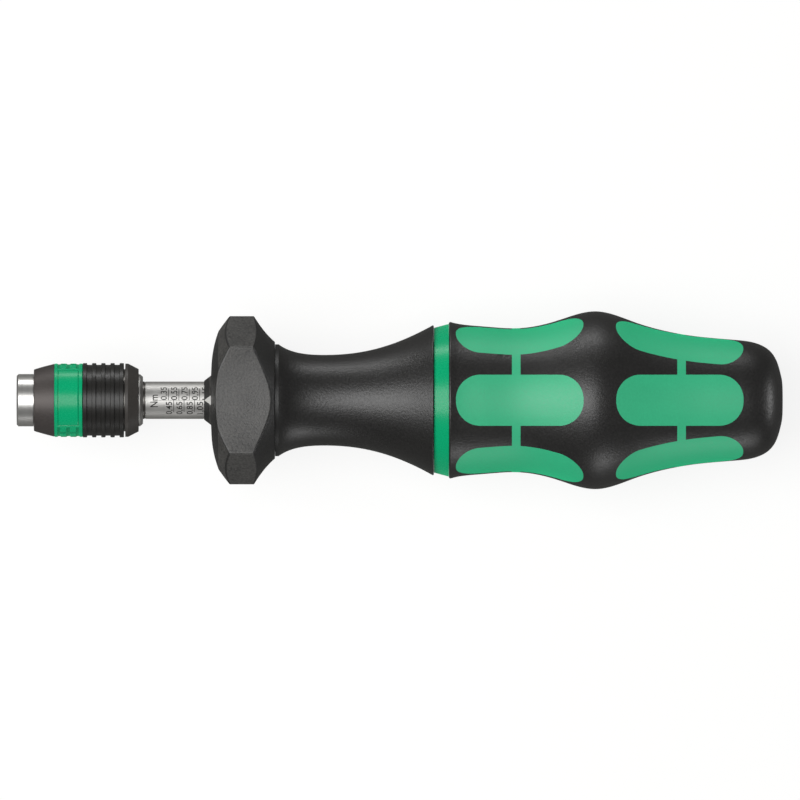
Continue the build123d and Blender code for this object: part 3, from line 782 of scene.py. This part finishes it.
def wrapped_text(name, words, height, run, place, start_angle, radius, layer, material):
    """Words bent around the scale sleeve as thin solid figures, read with the handle below."""
    text = bpy.data.curves.new(name, "FONT")
    text.body = words
    text.align_x = "LEFT"
    text.offset = FIGURE_BOLDNESS
    text.extrude = FIGURE_HALF_THICKNESS
    text.resolution_u = FIGURE_CURVE_STEPS
    flat = bpy.data.objects.new(name + "_flat", text)
    bpy.context.scene.collection.objects.link(flat)
    bpy.context.view_layer.update()
    state = bpy.context.evaluated_depsgraph_get()
    mesh = bpy.data.meshes.new_from_object(flat.evaluated_get(state))
    bpy.data.objects.remove(flat)
    bpy.data.curves.remove(text)
    form = bmesh.new()
    form.from_mesh(mesh)
    bpy.data.meshes.remove(mesh)
    bmesh.ops.remove_doubles(form, verts=form.verts, dist=FIGURE_WELD)
    low_x, high_x = (pick(vertex.co.x for vertex in form.verts) for pick in (min, max))
    high_y = max(vertex.co.y for vertex in form.verts)
    # Cut into strips, the flat figures can follow the round sleeve
    for index in range(1, FIGURE_STRIPS):
        cut = low_x + (high_x - low_x) * index / FIGURE_STRIPS
        everything = form.verts[:] + form.edges[:] + form.faces[:]
        bmesh.ops.bisect_plane(form, geom=everything, plane_co=(cut, 0, 0), plane_no=(1, 0, 0))
    for vertex in form.verts:
        along = (vertex.co.x - low_x) / (high_x - low_x) * run
        up = vertex.co.y / high_y * height
        stand = layer if vertex.co.z > 0 else -layer
        vertex.co = around(place - up, radius + stand, start_angle + along / radius)
    points = [tuple(vertex.co) for vertex in form.verts]
    form.verts.index_update()
    faces = [[vertex.index for vertex in face.verts] for face in form.faces]
    form.free()
    return mesh_piece(name, points, faces, material, "scale_body")


def wrapped_line(name, start, end, start_angle, end_angle, radius, layer, material):
    """A thin engraved line or bar bent around the scale sleeve, as a closed strip."""
    columns = max(1, int(abs(end_angle - start_angle) / math.radians(LINE_STEP)))
    points = []
    for column in range(columns + 1):
        angle = start_angle + (end_angle - start_angle) * column / columns
        for place, stand in ((start, -layer), (start, layer), (end, layer), (end, -layer)):
            points.append(around(place, radius + stand, angle))
    faces = [(0, 1, 2, 3), tuple(4 * columns + corner for corner in (3, 2, 1, 0))]
    for column in range(columns):
        base = 4 * column
        for corner in range(4):
            other = (corner + 1) % 4
            faces.append((base + corner, base + 4 + corner, base + 4 + other, base + other))
    return mesh_piece(name, points, faces, material, "scale_body")


class DRIVER_OT_scale(bpy.types.Operator):
    """Engraves the torque scale on its sleeve: marks, values and the unit"""
    bl_idname = "torque_driver.scale"
    bl_label = "Engrave the scale"

    def execute(self, context):
        sizes = context.scene.driver_scale
        radius = SCALE_SLEEVE[1].z
        # Burnt-in laser marking: dark and dull against the satin steel
        ink = painted("laser_marked_steel", context.scene.driver_colours.marking, roughness=0.6)
        half = sizes.mark_width / 2
        for index in range(sizes.value_count):
            place = sizes.first_place + index * sizes.pitch
            value = FIRST_VALUE + VALUE_STEP * index
            words = f"{value // 100},{value % 100:02d}"
            # Values stand above and below the centre line in turn
            if index % 2 == 0:
                reach, start = sizes.mark_reach, sizes.upper_start
            else:
                reach, start = -sizes.mark_reach, -(sizes.lower_end + sizes.figure_run)
            wrapped_line(
                f"scale_mark_{value}", place - half, place + half, 0.0, reach / radius,
                radius, sizes.depth, ink,
            )
            wrapped_text(
                f"scale_value_{value}", words, sizes.figure_height, sizes.figure_run,
                place - half - sizes.figure_gap, start / radius, radius, sizes.depth, ink,
            )
        last_place = sizes.first_place + (sizes.value_count - 1) * sizes.pitch
        wrapped_line(
            "scale_centre_line", sizes.unit_place + sizes.line_gap, last_place + half,
            -half / radius / 2, half / radius / 2, radius, sizes.depth, ink,
        )
        wrapped_text(
            "scale_unit", "Nm", sizes.unit_height, sizes.unit_run, sizes.unit_place,
            -sizes.unit_start / radius, radius, sizes.depth, ink,
        )
        return {"FINISHED"}


def collar_stations(front, rear):
    """The collar's closed outline in millimetres, and how many of its rows lie outside."""
    depth = rear - front
    dome = arc_radius(CONE_END, DOME_MIDDLE, DOME_END)
    back = arc_radius(CORNER_END, BACK_MIDDLE, (depth, BACK_RADIUS))

    def turned_radius(place):
        if place < CONE_END[0]:
            return line_radius(CONE_START, CONE_END, place)
        if place < DOME_END[0]:
            return dome(place)
        if place < CORNER_START[0]:
            return line_radius(DOME_END, CORNER_START, place)
        if place < CORNER_END[0]:
            return CORNER_START[1]
        return back(place)

    places = list(CONE_PLACES)
    for step in range(1, DOME_ROWS + 1):
        share = (step / DOME_ROWS) ** DOME_CROWDING
        places.append(CONE_END[0] + (DOME_END[0] - CONE_END[0]) * share)
    for step in range(1, BODY_ROWS + 1):
        places.append(DOME_END[0] + (depth - DOME_END[0]) * step / BODY_ROWS)
    stations = [(front + place, turned_radius(place)) for place in places]
    bore = [
        (rear, BEARING_RADIUS), (rear - BEARING_LENGTH, BEARING_RADIUS),
        (rear - BEARING_LENGTH, CLEARANCE_RADIUS), (front + GUIDE_LENGTH, CLEARANCE_RADIUS),
        (front + GUIDE_LENGTH, GUIDE_RADIUS), (front + MOUTH_CHAMFER, GUIDE_RADIUS),
    ]
    return stations + bore, len(stations)


def collar_sides(hollow, blend):
    """What gives the distance of the collar's six sides from the axis, at an angle."""
    corner, half_angle = CORNER_START[1] * MM, math.radians(WIDE_HALF_ANGLE)
    chord = corner * math.cos(half_angle)
    reach = corner * math.sin(half_angle)
    bow = (reach * reach + hollow ** 2) / (2 * hollow)
    bow_centre = chord - hollow + bow
    narrow = corner * math.cos(math.pi / 3 - half_angle)

    def sides(angle):
        turn = (angle + math.pi / 3) % (2 * math.pi / 3) - math.pi / 3
        across = bow_centre * math.sin(turn)
        hollow_face = bow_centre * math.cos(turn) - math.sqrt(max(bow * bow - across * across, 0.0))
        narrow_face = narrow / math.cos(abs(turn) - math.pi / 3)
        return soft_minimum(hollow_face, narrow_face, blend)

    return sides


def cone_mark(front, width, run):
    """Points and faces of a thin triangle on the collar's cone, in metres from millimetres."""
    apex = front + MARK_START
    points, faces = [], []
    for stand in (MARK_LAYER, -MARK_LAYER):
        for row in range(MARK_ROWS + 1):
            place = apex + run * row / MARK_ROWS
            radius = line_radius(CONE_START, CONE_END, place - front)
            half = width / 2 * max(row / MARK_ROWS, MARK_TIP_SHARE)
            for column in range(MARK_COLUMNS + 1):
                angle = half * (2 * column / MARK_COLUMNS - 1) / radius
                points.append(around(place * MM, (radius + stand) * MM, angle))
    row_size = MARK_COLUMNS + 1
    layer_size = (MARK_ROWS + 1) * row_size
    for row in range(MARK_ROWS):
        for column in range(MARK_COLUMNS):
            corner = row * row_size + column
            quad = (corner, corner + 1, corner + row_size + 1, corner + row_size)
            faces.append(quad)
            faces.append(tuple(point + layer_size for point in reversed(quad)))
    rim = list(range(row_size))
    rim += [row * row_size + MARK_COLUMNS for row in range(1, MARK_ROWS + 1)]
    rim += [MARK_ROWS * row_size + column for column in range(MARK_COLUMNS - 1, -1, -1)]
    rim += [row * row_size for row in range(MARK_ROWS - 1, 0, -1)]
    for index, corner in enumerate(rim):
        other = rim[(index + 1) % len(rim)]
        faces.append((other, corner, corner + layer_size, other + layer_size))
    return points, faces


class DRIVER_OT_collar(bpy.types.Operator):
    """Builds the adjusting collar with softly broken edges, and its white index mark"""
    bl_idname = "torque_driver.collar"
    bl_label = "Build the adjusting collar"

    def execute(self, context):
        sizes = context.scene.driver_collar
        tones = context.scene.driver_colours
        front = COLLAR[0].x / MM
        stations, outer_rows = collar_stations(front, COLLAR[1].x / MM)
        stations = [(place * MM, radius * MM) for place, radius in stations]
        sides = collar_sides(sizes.hollow, sizes.edge_blend)

        def radius_at(row, angle):
            radius = stations[row][1]
            if row >= outer_rows:
                return radius
            return soft_minimum(radius, sides(angle), sizes.edge_blend)

        points, faces = closed_profile(stations, COLLAR_COLUMNS, radius_at)
        # Moulded, with its six sides left coarse by a blasted mould: matt and mottled greys,
        # between turned faces of a deeper and smoother black
        finish = pitted(
            "blasted_black_plastic", tones.black_blasted,
            roughness=0.5, pit=0.45 * MM, depth=0.05 * MM, mottle=0.75,
            inputs={"Specular IOR Level": 0.75},
        )
        blasted_sides_only(finish, sizes.smooth_shade)
        collar = mesh_piece(
            "dial_collar", points, faces, finish, "collar_body", COLLAR_FOLD
        )
        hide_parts("adjusting_collar")
        dress(finish, "adjusting_collar")

        # White pad-printed paint on the collar's cone: flat and slightly chalky
        paint = painted("white_index_paint", tones.index, roughness=0.5)
        points, faces = cone_mark(front, sizes.pointer_width / MM, sizes.pointer_length / MM)
        mesh_piece("index_mark", points, faces, paint, "collar_body")
        return {"FINISHED"}


class DRIVER_OT_handle(bpy.types.Operator):
    """Finishes the housing, the washer in front of it and the two-colour handle"""
    bl_idname = "torque_driver.handle"
    bl_label = "Finish the handle"

    def execute(self, context):
        tones = context.scene.driver_colours
        # Polyamide from a finely eroded mould: deep black, with grey, grainy highlights
        polyamide = pitted(
            "black_polyamide", tones.black_polyamide,
            roughness=0.42, pit=0.45 * MM, depth=0.05 * MM, mottle=0.3,
            inputs={"Specular IOR Level": 0.7},
        )
        dress(polyamide, "front_housing", "handle_shell")
        # Acetal turned on a lathe: a waxy black between the collar and the housing
        acetal = pitted(
            "turned_black_acetal", tones.black_acetal,
            roughness=0.45, pit=0.3 * MM, depth=0.003 * MM, mottle=0.1,
        )
        dress(acetal, "collar_thrust_washer")
        # Thermoplastic elastomer moulded over the polyamide: softer and duller, with a velvety
        # sheen, whose bright green tint is painted light that keeps its green bright where it turns
        # away
        elastomer = pitted(
            "green_elastomer", tones.green_elastomer,
            roughness=0.55, pit=0.4 * MM, depth=0.01 * MM, mottle=0.05,
            inputs={
                "Specular IOR Level": 0.9, "Sheen Weight": 0.75, "Sheen Roughness": 0.5,
                "Sheen Tint": tones.painted_green_sheen,
            },
        )
        dress(elastomer, "front_grip_inlay", "rear_grip_inlay")
        return {"FINISHED"}


def area_lamp(name, place, watts, width, depth):
    """A soft box that faces the middle of the tool."""
    light = bpy.data.lights.new(name, "AREA")
    light.shape = "RECTANGLE"
    light.size = width
    light.size_y = depth
    light.energy = watts
    lamp = bpy.data.objects.new(name, light)
    lamp.location = place
    lamp.rotation_euler = (LAMP_AIM - Vector(place)).to_track_quat("-Z", "Y").to_euler()
    lamp.visible_camera = False
    bpy.context.scene.collection.objects.link(lamp)


def studio_air(studio):
    """The even light from all around, which the camera sees as white beyond the floor's edge."""
    world = bpy.data.worlds.new("studio_air")
    world.use_nodes = True
    tree = world.node_tree
    tree.nodes.clear()
    rays = add_node(tree, "LightPath")
    strength = add_node(
        tree, "MapRange", {"To Min": studio.sky, "To Max": 1.0},
        {"Value": rays.outputs["Is Camera Ray"]},
    )
    air = add_node(
        tree, "Background", {"Color": WHITE}, {"Strength": strength.outputs["Result"]}
    )
    add_node(tree, "OutputWorld", links={"Surface": air.outputs["Background"]})
    return world


def floor_paper(studio, tone):
    """Matt grey paper with a trace of its own fibre.

    Its grey keeps the rims of the dark pieces dark. It glows for the camera, so that it reads as
    white and still takes the tool's shadow, and it glows a little in reflections.
    """
    material, tree, shader, place = start_material(
        "matt_paper", {"Roughness": 0.9, "Specular IOR Level": 0.1, "Emission Color": WHITE}
    )
    fibre = add_node(tree, "TexNoise", {"Scale": 1 / FIBRE_SIZE, "Detail": 3.0}, {"Vector": place})
    shade = add_node(
        tree, "Mix", {6: tinted(tone, FIBRE_SHADE), 7: tone},
        {0: fibre.outputs["Fac"]}, data_type="RGBA",
    )
    tree.links.new(shade.outputs[2], shader.inputs["Base Color"])
    rays = add_node(tree, "LightPath").outputs
    mirrored = add_node(
        tree, "Math", {}, {0: rays["Is Glossy Ray"], 1: rays["Is Transmission Ray"]},
        operation="MAXIMUM",
    )
    faint = add_node(
        tree, "Math", {1: studio.card_in_gloss}, {0: mirrored.outputs["Value"]},
        operation="MULTIPLY",
    )
    glow = add_node(
        tree, "Math", {1: studio.white_card},
        {0: rays["Is Camera Ray"], 2: faint.outputs["Value"]}, operation="MULTIPLY_ADD",
    )
    tree.links.new(glow.outputs["Value"], shader.inputs["Emission Strength"])
    return material


class DRIVER_OT_stage(bpy.types.Operator):
    """Sets up the floor, the lamps and the camera"""
    bl_idname = "torque_driver.stage"
    bl_label = "Set up the studio"

    def execute(self, context):
        scene = context.scene
        studio = scene.driver_studio
        scene.view_settings.view_transform = "Standard"
        scene.world = studio_air(studio)

        level = cad_box[0].z - FLOOR_GAP
        corners = [
            (x * FLOOR_HALF, y * FLOOR_HALF, level) for x, y in ((-1, -1), (1, -1), (1, 1), (-1, 1))
        ]
        mesh = bpy.data.meshes.new("studio_floor")
        mesh.from_pydata(corners, [], [(0, 1, 2, 3)])
        mesh.materials.append(floor_paper(studio, scene.driver_colours.floor))
        floor = bpy.data.objects.new("studio_floor", mesh)
        scene.collection.objects.link(floor)

        for name, (place, width, depth) in LAMPS.items():
            area_lamp(name + "_box", place, getattr(studio, name + "_power"), width, depth)

        lens = bpy.data.cameras.new("photo_camera")
        lens.sensor_width = SENSOR_WIDTH
        lens.lens = SENSOR_WIDTH * studio.distance / studio.picture_width
        lens.clip_end = CAMERA_REACH
        camera = bpy.data.objects.new("photo_camera", lens)
        camera.location = (studio.picture_middle, studio.picture_side, studio.distance)
        scene.collection.objects.link(camera)
        scene.camera = camera
        return {"FINISHED"}


STEPS = (
    DRIVER_OT_steel, DRIVER_OT_springs, DRIVER_OT_brass_and_rubber, DRIVER_OT_release_sleeve,
    DRIVER_OT_band, DRIVER_OT_scale, DRIVER_OT_collar, DRIVER_OT_handle, DRIVER_OT_stage,
)
PROPERTY_GROUPS = {
    "driver_scale": ScaleProperties,
    "driver_band": BandProperties,
    "driver_collar": CollarProperties,
    "driver_springs": SpringProperties,
    "driver_colours": ColourProperties,
    "driver_studio": StudioProperties,
}


class DRIVER_PT_panel(bpy.types.Panel):
    """Lists the steps and the sizes of the screwdriver"""
    bl_idname = "DRIVER_PT_panel"
    bl_label = "Torque screwdriver"
    bl_space_type = "VIEW_3D"
    bl_region_type = "UI"
    bl_category = "Screwdriver"

    def draw(self, context):
        layout = self.layout
        for step in STEPS:
            layout.operator(step.bl_idname)
        for group in PROPERTY_GROUPS:
            box = layout.box()
            settings = getattr(context.scene, group)
            for name in settings.bl_rna.properties.keys():
                if name not in ("rna_type", "name"):
                    box.prop(settings, name)


CLASSES = tuple(PROPERTY_GROUPS.values()) + STEPS + (DRIVER_PT_panel,)


def register():
    for item in CLASSES:
        bpy.utils.register_class(item)
    for name, group in PROPERTY_GROUPS.items():
        setattr(bpy.types.Scene, name, PointerProperty(type=group))


def unregister():
    for name in PROPERTY_GROUPS:
        delattr(bpy.types.Scene, name)
    for item in reversed(CLASSES):
        bpy.utils.unregister_class(item)


def main():
    register()
    for step in STEPS:
        group, operation = step.bl_idname.split(".")
        getattr(getattr(bpy.ops, group), operation)()


if __name__ == "__main__":
    main()
